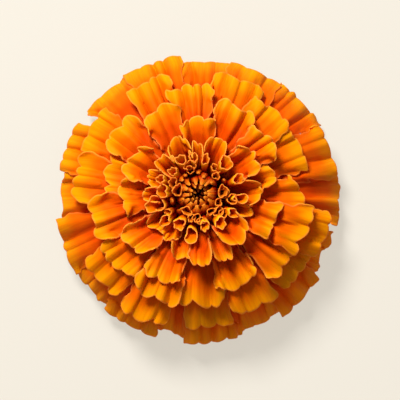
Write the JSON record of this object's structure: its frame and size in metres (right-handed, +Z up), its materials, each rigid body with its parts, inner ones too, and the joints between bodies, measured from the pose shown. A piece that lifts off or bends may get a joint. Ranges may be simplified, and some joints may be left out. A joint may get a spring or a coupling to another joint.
{
  "type": "marigold flower head",
  "caption": "Fully double orange marigold flower head, picked without its stem and resting face up, with a green cup under the petals.",
  "frame": {"origin": "under the middle of the head's box, in the plane it rests on, which is the plane of the stalk's cut", "axes": "+Z up out of the face of the flower, along its stalk; +Y towards the top of the picture and +X towards its right"},
  "size_m": [0.0688, 0.0698, 0.0322],
  "materials": {
    "petal": "matte",
    "young_floret": "matte",
    "cup": "satin",
    "stalk": "satin"
  },
  "bodies": {
    "root": {"stalk_and_receptacle": "stalk", "green_cup": "cup", "outer_ray_01": "petal", "outer_ray_02": "petal", "outer_ray_03": "petal", "outer_ray_04": "petal", "outer_ray_05": "petal", "outer_ray_06": "petal", "outer_ray_07": "petal", "outer_ray_08": "petal", "outer_ray_09": "petal", "outer_ray_10": "petal", "outer_ray_11": "petal", "outer_ray_12": "petal", "outer_ray_13": "petal", "outer_ray_14": "petal", "outer_ray_15": "petal", "outer_ray_16": "petal", "outer_ray_17": "petal", "second_ray_01": "petal", "second_ray_02": "petal", "second_ray_03": "petal", "second_ray_04": "petal", "second_ray_05": "petal", "second_ray_06": "petal", "second_ray_07": "petal", "second_ray_08": "petal", "second_ray_09": "petal", "second_ray_10": "petal", "second_ray_11": "petal", "second_ray_12": "petal", "third_ray_01": "petal", "third_ray_02": "petal", "third_ray_03": "petal", "third_ray_04": "petal", "third_ray_05": "petal", "third_ray_06": "petal", "third_ray_07": "petal", "third_ray_08": "petal", "third_ray_09": "petal", "third_ray_10": "petal", "third_ray_11": "petal", "fourth_ray_01": "petal", "fourth_ray_02": "petal", "fourth_ray_03": "petal", "fourth_ray_04": "petal", "fourth_ray_05": "petal", "fourth_ray_06": "petal", "fourth_ray_07": "petal", "fourth_ray_08": "petal", "fourth_ray_09": "petal", "fourth_ray_10": "petal", "cupped_ray_crown": "petal", "trumpet_crown": "petal", "bud_cluster": "young_floret"}
  },
  "joints": []
}
